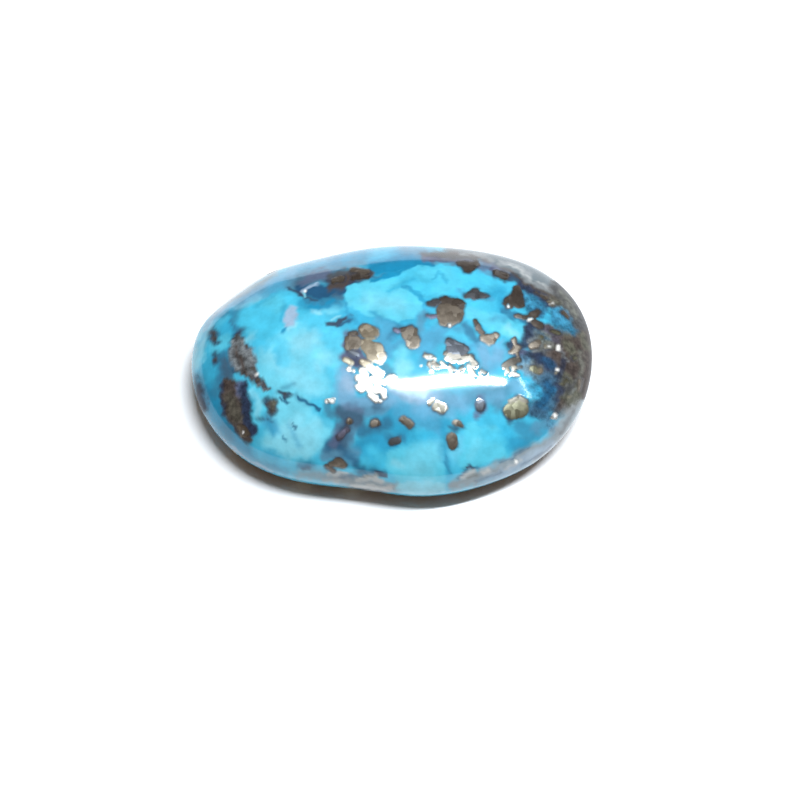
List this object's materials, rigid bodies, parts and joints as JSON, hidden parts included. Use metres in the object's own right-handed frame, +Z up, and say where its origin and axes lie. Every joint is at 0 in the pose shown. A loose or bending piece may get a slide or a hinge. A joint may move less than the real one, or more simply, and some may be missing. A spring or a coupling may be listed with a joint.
{
  "type": "polished turquoise stone",
  "caption": "Loose polished turquoise stone: an uneven oval, low domed, with pyrite grains in it and a flat back to rest on.",
  "frame": {"origin": "on the flat back's plane, under the middle of the stone's bounding box", "axes": "+X along the stone, +Y across it towards the faceted back corner, +Z up out of the flat back"},
  "size_m": [0.0204, 0.0144, 0.0057],
  "materials": {
    "turquoise": "polished"
  },
  "bodies": {
    "root": {"turquoise_nugget": "turquoise"}
  },
  "joints": []
}
